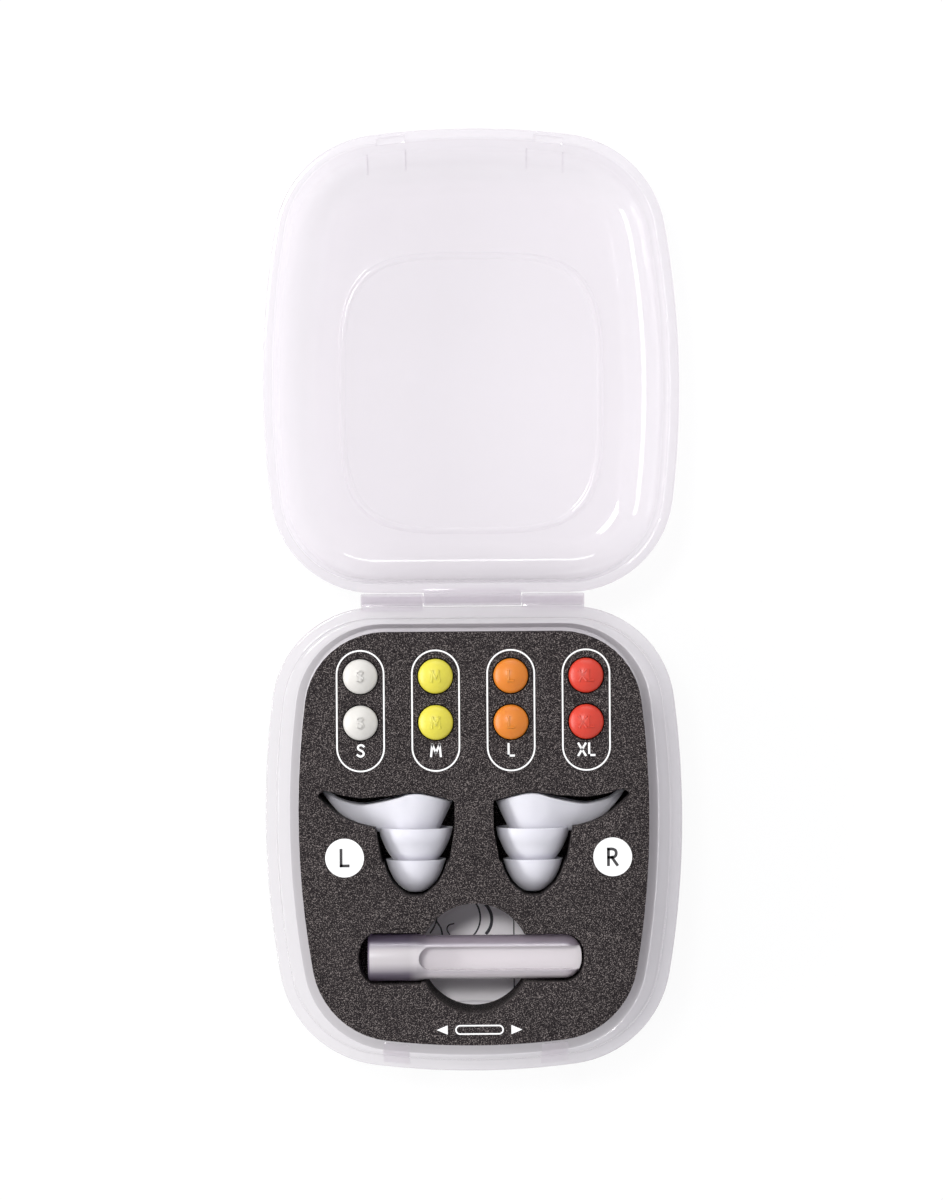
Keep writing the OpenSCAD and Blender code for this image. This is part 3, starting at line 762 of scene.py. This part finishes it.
class KIT_OT_foam(bpy.types.Operator):
    """Foam tray with its die-cut pockets, and the backing sheet"""

    bl_idname = "kit.foam"
    bl_label = "Foam tray"

    def execute(self, context):
        for node, name, edge in (("foam_tray", "tray_block", 0.35), ("foam_backing", "backing_sheet", 0.15)):
            bm = copy_of(node)
            top = max(v.co.z for v in bm.verts)
            rim = [e for e in bm.edges if all(abs(v.co.z - top) < 1e-3 for v in e.verts)
                   and len(e.link_faces) == 2 and e.calc_face_angle(0) > math.radians(60)]
            round_edges(bm, rim, edge)
            foam = finish_piece(name, bm, "tray", material(speckled_foam), [node], recalculate=False)
        return {"FINISHED"}


class KIT_OT_print(bpy.types.Operator):
    """Print on the foam: size rings with their letters, left and right discs, applicator sign"""

    bl_idname = "kit.print"
    bl_label = "Print on the foam"

    def execute(self, context):
        top, thickness = TRAY_TOP + 0.005, 0.02
        white = material(ink, colours().ink, name="white_ink")
        black = material(ink, (0.03, 0.028, 0.03), name="black_ink")
        printed = lambda name, bm, colour=white: finish_piece(name, bm, "tray", colour)
        ring_y, ring_w, ring_l, line, disc_r = -19.15, 8.4, 21.1, 0.27, 3.35
        for size in SIZES:
            low, high = corners(f"insert_{size}_1")
            x = (low.x + high.x) / 2
            bm = flat_shape([stadium(x, ring_y, ring_w - cut, ring_l - cut) for cut in (0, 2 * line)],
                            top, thickness)
            join(bm, [letters(size.upper(), 2.35, (x, -26.0), top, thickness, 0.36)])
            printed("size_ring_" + size, bm)
        for letter, x, y in (("L", -22.4, -44.5), ("R", 23.9, -44.6)):
            disc = arc_points(x, y, disc_r, 0, 360 * 63 / 64, 63)
            printed("side_disc_" + letter.lower(), flat_shape([disc], top, thickness))
            printed("side_letter_" + letter.lower(),
                    letters(letter, 3.2, (x, y), top + thickness, 0.015, 0.5), black)
        printed("applicator_sign", applicator_sign(0.7, -74.3, top, thickness))
        return {"FINISHED"}


def stadium(x, y, width, height):
    """A closed loop with round ends, standing along Y."""
    r, half = width / 2, (height - width) / 2
    return arc_points(x, y + half, r, 0, 180) + arc_points(x, y - half, r, 180, 360)


def applicator_sign(x, y, low_z, thickness):
    """A small generic sign: an outlined rod with an arrow at each end."""
    line, width, height = 0.26, 8.4, 1.7
    tip, root, arrow_h = 7.4, 5.5, 0.8
    rod = [[(x + px, y + py) for px, py in lying_stadium(width - cut, height - cut)] for cut in (0, 2 * line)]
    bm = flat_shape(rod, low_z, thickness)
    join(bm, [flat_shape([[(x + side * tip, y), (x + side * root, y + arrow_h), (x + side * root, y - arrow_h)]],
                         low_z, thickness) for side in (-1, 1)])
    return bm


def lying_stadium(width, height):
    """A closed loop with round ends round the origin, lying along X."""
    return [(b, a) for a, b in reversed(stadium(0, 0, height, width))]


class KIT_OT_inserts(bpy.types.Operator):
    """Eight core inserts: a stem under a domed cap with its raised size letter"""

    bl_idname = "kit.inserts"
    bl_label = "Core inserts"

    def execute(self, context):
        for size in SIZES:
            plastic = material(core_plastic, size, name="core_plastic_" + size)
            for row in (1, 2):
                node = f"insert_{size}_{row}"
                finish_piece(f"core_{size}_{row}", core_insert(node, size), node, plastic, [node])
        return {"FINISHED"}


def core_insert(node, size):
    low, high = corners(node)
    x, y, cap_r = (low.x + high.x) / 2, (low.y + high.y) / 2, (high.x - low.x) / 2
    edge, dome = 0.8, 1.2
    stem_r = 1.1 + 0.2 * SIZES.index(size)
    cap_z = high.z - dome - edge
    ball_r = (cap_r ** 2 + dome ** 2) / (2 * dome)
    height = lambda r: high.z - ball_r + math.sqrt(max(ball_r ** 2 - r ** 2, 0))
    profile = [(0, low.z), (stem_r - 0.4, low.z), (stem_r, low.z + 0.4), (stem_r, cap_z - 0.3),
               (stem_r + 0.3, cap_z), (cap_r - 0.2, cap_z), (cap_r, cap_z + 0.2), (cap_r, cap_z + edge - 0.15)]
    steps = 14
    profile += [(cap_r * (1 - i / steps), height(cap_r * (1 - i / steps))) for i in range(1, steps + 1)]
    bm = bmesh.new()
    revolve(bm, [(x + r, y, z) for r, z in profile], (x, y, 0), (0, 0, 1), steps=56)
    for points in letter_strokes(size.upper(), 2.1, (x, y), 0.36):
        rings = []
        for width, lift in ((0.56, -0.05), (0.5, 0.02), (0.22, 0.2)):
            rings.append([(px, py, height(math.hypot(px - x, py - y)) + lift) for px, py in band(points, width)])
        join(bm, [solid(bmesh.new(), rings)])
    return bm


class KIT_OT_plugs(bpy.types.Operator):
    """Both ear plugs: two flanges on a core, and a bowl that runs out into the fin"""

    bl_idname = "kit.plugs"
    bl_label = "Ear plugs"

    def execute(self, context):
        sizes = in_mm(context.scene.kit_plug)
        for side, node in ((-1, "plug_left"), (1, "plug_right")):
            low, high = corners(node)
            flange_r = (high.z - low.z) / 2
            axis_x = low.x + flange_r if side > 0 else high.x - flange_r
            bm = ear_plug(sizes, flange_r)
            place = Matrix.Translation((axis_x, low.y, (low.z + high.z) / 2)) @ Matrix.Diagonal((side, 1, 1, 1))
            bm.transform(place)
            finish_piece("ear_" + node, bm, node, material(satin_silicone), [node], sharp=50)
        return {"FINISHED"}


def ear_plug(sizes, flange_r):
    """A plug in its own plane: x towards the fin, y along the axis from the tip."""
    bm = bmesh.new()
    tip_r, core_r, skin_t = sizes.tip_flange_d / 2, sizes.core_d / 2, sizes.skin_t
    tip_h, mid_h = sizes.tip_rim_h, sizes.mid_rim_h
    shares = (0, 0), (0.25, 0.03), (0.47, 0.15), (0.70, 0.36), (0.88, 0.66), (1, 1)
    tip = smooth_path([(across * tip_r, along * tip_h) for across, along in shares])
    tip_inside = [(tip_r - 0.3, tip_h), (0.80 * tip_r, 0.72 * tip_h), (0.62 * tip_r, 0.5 * tip_h),
                  (core_r - 0.2, 0.45 * tip_h)]
    mid = smooth_path([(core_r - 0.1, tip_h - 1.6), (0.62 * flange_r, tip_h + 0.1),
                       (0.75 * flange_r, tip_h + 1.2), (0.86 * flange_r, tip_h + 2.6),
                       (0.95 * flange_r, mid_h - 1.5), (flange_r, mid_h)])
    mid_inside = [(flange_r - 0.3, mid_h), (0.84 * flange_r, tip_h + 2.9), (0.66 * flange_r, tip_h + 1.4),
                  (core_r - 0.2, tip_h + 0.6)]
    for outside, inside in ((tip, tip_inside), (mid, mid_inside)):
        path = [tuple(p) for p in outside] + inside
        path.append(path[0] if outside is mid else (0, path[-1][1]))
        revolve(bm, [(r, y, 0) for r, y in path], (0, 0, 0), (0, 1, 0), steps=72)
    bore_r, floor = 1.6, mid_h + 0.9
    core = [(core_r - 0.05, 0.42 * tip_h), (core_r, floor), (bore_r + 0.2, floor), (bore_r, floor - 0.2),
            (bore_r, tip_h / 2), (0, tip_h / 2)]
    revolve(bm, [(r, y, 0) for r, y in core], (0, 0, 0), (0, 1, 0), steps=48)
    join(bm, [bowl(flange_r, mid_h, skin_t)])
    return bm


def bowl(flange_r, mid_h, skin_t):
    """The outer bowl, from its neck to the rim, whose one side runs out into the fin."""
    rim_heights = smooth_path([(-flange_r, 4.5), (-4.2, 5.2), (-1, 5.9), (1.1, 5.85), (2.9, 5.3), (5.3, 4.7),
                               (7.4, 4.25), (9.2, 4.0), (11, 4.2), (12.5, 4.6), (14, 5.2), (15.4, 6.2),
                               (16.3, 6.5)])
    fin = smooth_path([(0, flange_r), (2.5, 6), (5, 5), (7.5, 4), (10, 3), (12.5, 2.1), (15, 1.25),
                       (16.0, 0.75), (16.35, 0)])
    round_side = [Vector((flange_r * math.cos(a), flange_r * math.sin(a)))
                  for a in (math.pi * (0.5 + 0.5 * i / 18) for i in range(1, 19))]
    upper = list(reversed(fin)) + round_side
    plan = resample(upper + [Vector((p.x, -p.y)) for p in reversed(upper[1:-1])], 120)

    def rim_height(x):
        for a, b in zip(rim_heights, rim_heights[1:]):
            if a.x <= x <= b.x:
                return a.y + (b.y - a.y) * (x - a.x) / max(b.x - a.x, 1e-6)
        return rim_heights[-1].y if x > 0 else rim_heights[0].y

    neck_x, neck_r, neck_y, rows = 0.6, 4.5, -0.8, 16
    middle = Vector((neck_x, 0))
    rings = []
    for k in range(rows + 1):
        t = k / rows
        ring = []
        for p in plan:
            neck = middle + (p - middle).normalized() * neck_r
            slant = min(max((p.x - 4) / 10, 0), 1)
            power = 1.05 + 1.35 * slant * slant * (3 - 2 * slant)
            at = neck.lerp(p, t)
            y = neck_y + (rim_height(p.x) - neck_y) * t ** power
            ring.append(Vector((at.x, mid_h + y, at.y)))
        rings.append(ring)
    bm = bmesh.new()
    cap(bm, skin(bm, rings)[0])
    bmesh.ops.recalc_face_normals(bm, faces=bm.faces[:])
    bmesh.ops.solidify(bm, geom=bm.faces[:], thickness=skin_t)
    return bm


def resample(points, count):
    """The closed loop's points again, evenly spaced along it."""
    loop = points + [points[0]]
    gaps = [(b - a).length for a, b in zip(loop, loop[1:])]
    total, out, i, done = sum(gaps), [], 0, 0.0
    for k in range(count):
        want = total * k / count
        while done + gaps[i] < want:
            done += gaps[i]
            i += 1
        out.append(loop[i].lerp(loop[i + 1], (want - done) / max(gaps[i], 1e-9)))
    return out


class KIT_OT_applicator(bpy.types.Operator):
    """Applicator: a cup on a handle with a thumb recess on both faces"""

    bl_idname = "kit.applicator"
    bl_label = "Applicator"

    def execute(self, context):
        sizes = in_mm(context.scene.kit_applicator)
        low, high = corners("applicator")
        centre, cup_r, total = (low + high) / 2, (high.z - low.z) / 2, high.x - low.x
        bore_r, end_r = sizes.bore_d / 2, sizes.end_r
        bend = smooth_path([(sizes.cup_len - 0.4, cup_r), (sizes.cup_len + 0.5, cup_r - 0.16),
                            (sizes.cup_len + 1.6, sizes.handle_r), (sizes.cup_len + 3, sizes.handle_r)])
        profile = [(sizes.bore_len, 0), (sizes.bore_len, bore_r - 0.4), (sizes.bore_len - 0.4, bore_r),
                   (0.35, bore_r), (0, bore_r + 0.35), (0, cup_r - 0.3), (0.3, cup_r)]
        profile += [tuple(p) for p in bend]
        profile += arc_points(total - end_r, sizes.handle_r - end_r, end_r, 90, 0, 10)
        profile.append((total, 0))
        bm = bmesh.new()
        revolve(bm, [(x, 0, r) for x, r in profile], (0, 0, 0), (1, 0, 0), steps=72)
        bm.transform(Matrix.Translation((low.x, centre.y, centre.z)))
        rod = finish_piece("applicator_rod", bm, "applicator",
                           material(frosted_plastic), ["applicator"], sharp=30)
        start, reach = low.x + sizes.cup_len, total
        recesses = []
        for side in (-1, 1):
            plan = [(start + reach / 2 + x, centre.y + y) for x, y in lying_stadium(reach, sizes.recess_w)]
            low_z = centre.z + (sizes.web_t / 2 if side > 0 else -sizes.web_t / 2 - cup_r)
            recesses.append(flat_shape([plan], low_z, cup_r))
        shade(carved(rod, recesses), 30)
        edges = rod.modifiers.new("edges", "BEVEL")
        edges.width, edges.segments, edges.limit_method = 0.16 * MM, 2, "ANGLE"
        edges.angle_limit = math.radians(35)
        return {"FINISHED"}


class KIT_OT_leaflet(bpy.types.Operator):
    """Folded leaflet under the foam, with a plain line drawing"""

    bl_idname = "kit.leaflet"
    bl_label = "Leaflet"

    def execute(self, context):
        low, high = corners("leaflet")
        low.y -= 0.75
        plies, sheet_t = 4, 0.12
        pitch = (high.z - low.z - sheet_t) / (plies - 1)
        path = []
        for k in range(plies):
            z = low.z + sheet_t / 2 + k * pitch
            ends = (low.y + pitch, high.y - pitch)
            if k % 2:
                ends = ends[::-1]
            path += [(ends[0], z), (ends[1], z)]
            if k < plies - 1:
                out = pitch / 2 if ends[1] > ends[0] else -pitch / 2
                path += [(ends[1] + out * math.sin(math.pi * i / 4), z + pitch * (1 - math.cos(math.pi * i / 4)) / 2)
                         for i in range(1, 4)]
        bm = bmesh.new()
        skin(bm, [[(x, y, z) for y, z in path] for x in (low.x, high.x)], closed=False)
        bmesh.ops.solidify(bm, geom=bm.faces[:], thickness=sheet_t)
        bm.transform(Matrix.Translation((0, 0, low.z - min(v.co.z for v in bm.verts))))
        finish_piece("folded_leaflet", bm, "leaflet", material(printed_paper), ["leaflet"])
        top = high.z + 0.003
        strokes = [(arc_points(-3.6, -56.2, 4.59, -50, 60), 0.3), (arc_points(-0.7, -56.5, 3.71, -45, 45), 0.55),
                   ([(6.9, -52.0), (6.9, -72.0)], 0.22),
                   (smooth_path([(-7.6, -54.3), (-6.7, -55.6), (-7.0, -57.4), (-7.9, -58.9)]), 0.27),
                   (smooth_path([(-6.9, -56.6), (-6.0, -58.0), (-5.7, -59.4)]), 0.27),
                   (smooth_path([(-3.6, -57.2), (-4.6, -57.5), (-4.9, -58.3), (-4.4, -59.2)]), 0.22)]
        drawing = bmesh.new()
        join(drawing, [flat_shape([band(points, width)], top, 0.012) for points, width in strokes])
        finish_piece("leaflet_drawing", drawing, "leaflet",
                     material(ink, (0.03, 0.026, 0.035), name="leaflet_ink"))
        return {"FINISHED"}


def band(points, width):
    """The closed loop round a stroke of even width along the points."""
    points = [Vector(p) for p in points]
    left, right = [], []
    for i, p in enumerate(points):
        way = (points[min(i + 1, len(points) - 1)] - points[max(i - 1, 0)]).normalized()
        across = Vector((-way.y, way.x)) * width / 2
        left.append(p + across)
        right.append(p - across)
    return [tuple(p) for p in left + right[::-1]]


class KIT_OT_pin(bpy.types.Operator):
    """Finish of the hinge pin, which keeps its CAD shape"""

    bl_idname = "kit.pin"
    bl_label = "Hinge pin"

    def execute(self, context):
        pin = NODES["hinge_pin"]
        pin.data.materials.clear()
        pin.data.materials.append(material(milky_plastic))
        return {"FINISHED"}


class KIT_OT_stage(bpy.types.Operator):
    """Floor, lamps, world and camera"""

    bl_idname = "kit.stage"
    bl_label = "Stage"

    def execute(self, context):
        make_floor()
        make_world()
        lamp("key", (-0.27, 0.28, 1.12), (0.22, 0.22), 6.0)
        lamp("side_strip", (-1.0, 0.0, 0.40), (0.9, 0.2), 7.0)
        lamp("top_strip", (0.05, 1.0, 0.42), (0.8, 0.1), 1.8)
        make_camera()
        return {"FINISHED"}


def make_floor():
    bm = bmesh.new()
    bmesh.ops.create_grid(bm, x_segments=8, y_segments=8, size=3.0)
    floor = new_object("floor", new_mesh("floor", bm))
    floor.location.z = -0.0002
    floor.data.materials.append(material(floor_paint, name="floor"))


def floor_paint(n):
    """Pale paint that the camera, mirrors and glass see as white, with a faint shadow left on it.
    Seen through the plastic it is less bright, and under the base a painted shadow makes it fade
    from bright on the left to dark on the right."""
    paint = n.add("BsdfDiffuse", {"Color": (0.95, 0.95, 0.95, 1)})
    glow = n.add("Emission", {"Color": (1, 1, 1, 1), "Strength": 1.0})
    path = n.add("LightPath").outputs
    seen = n.math("MAXIMUM", path["Is Camera Ray"], path["Is Glossy Ray"])
    uncovered = n.math("LESS_THAN", path["Transparent Depth"], 0.5)
    # Painted shadow: seen through the base, the floor goes from bright on the left to dark on the right.
    painted_shadow_under_base = n.mapped(n.axis("X"), -0.035, 0.03, 0.9, 0.0)
    covered = n.mapped(n.axis("Y"), -0.02, 0.0, painted_shadow_under_base, 0.66)
    level = n.mapped(uncovered, 0.0, 1.0, covered, 0.88)
    in_glass = n.math("MULTIPLY", path["Is Transmission Ray"], 0.35)
    return n.shader(n.math("MAXIMUM", n.math("MULTIPLY", seen, level), in_glass), paint, glow)


def make_world():
    """Soft even light, and a paler world for the camera, mirrors and glass."""
    world = bpy.data.worlds.new("studio")
    world.use_nodes = True
    bpy.context.scene.world = world
    n = Nodes(world.node_tree, "ShaderNodeOutputWorld")
    soft = n.add("Background", {"Color": (0.96, 0.97, 1.0, 1), "Strength": 0.66})
    white = n.add("Background", {"Strength": 1.0})
    path = n.add("LightPath").outputs
    mirrored = n.math("MAXIMUM", path["Is Glossy Ray"], path["Is Transmission Ray"])
    share = n.math("MAXIMUM", path["Is Camera Ray"], n.math("MULTIPLY", mirrored, 0.75))
    n.feed(n.output.inputs["Surface"], n.shader(share, soft, white))


def lamp(name, place, size, power):
    data = bpy.data.lights.new(name, "AREA")
    data.shape, data.size, data.size_y, data.energy = "RECTANGLE", *size, power
    obj = new_object(name, data)
    obj.location = place
    obj.rotation_euler = (-Vector(place)).to_track_quat("-Z", "Y").to_euler()


def make_camera():
    distance, view_h, roll, sensor_h = 620.0, 207.25, math.radians(-0.4), 24
    data = bpy.data.cameras.new("camera")
    data.sensor_fit, data.sensor_height = "VERTICAL", sensor_h
    data.lens = sensor_h * distance / view_h
    data.clip_start, data.clip_end = 0.01, 20
    camera = new_object("camera", data)
    camera.location = Vector((-0.17, -0.09, SEAM_Z + distance)) * MM
    camera.rotation_euler = (0, 0, roll)
    bpy.context.scene.camera = camera


# ---------------- panel, registration and main

OPERATORS = (KIT_OT_stage, KIT_OT_base, KIT_OT_lid, KIT_OT_pin, KIT_OT_foam, KIT_OT_print,
             KIT_OT_inserts, KIT_OT_plugs, KIT_OT_applicator, KIT_OT_leaflet)


class KIT_PT_panel(bpy.types.Panel):
    """Buttons for every group of pieces"""

    bl_idname = "KIT_PT_panel"
    bl_label = "Ear Plug Kit"
    bl_space_type = "VIEW_3D"
    bl_region_type = "UI"
    bl_category = "Ear Plug Kit"

    def draw(self, context):
        column = self.layout.column(align=True)
        for operator in OPERATORS:
            column.operator(operator.bl_idname)


SETTINGS = {"kit_case": CaseSizes, "kit_plug": PlugSizes, "kit_applicator": ApplicatorSizes,
            "kit_colours": KitColours}
CLASSES = (*SETTINGS.values(), *OPERATORS, KIT_PT_panel)


def register():
    for cls in CLASSES:
        bpy.utils.register_class(cls)
    for name, group in SETTINGS.items():
        setattr(bpy.types.Scene, name, PointerProperty(type=group))


def unregister():
    for name in SETTINGS:
        delattr(bpy.types.Scene, name)
    for cls in reversed(CLASSES):
        bpy.utils.unregister_class(cls)


def main():
    register()
    bpy.context.scene.view_settings.view_transform = "Standard"
    for operator in OPERATORS:
        group, name = operator.bl_idname.split(".")
        getattr(getattr(bpy.ops, group), name)()
    bpy.context.view_layer.update()


if __name__ == "__main__":
    main()
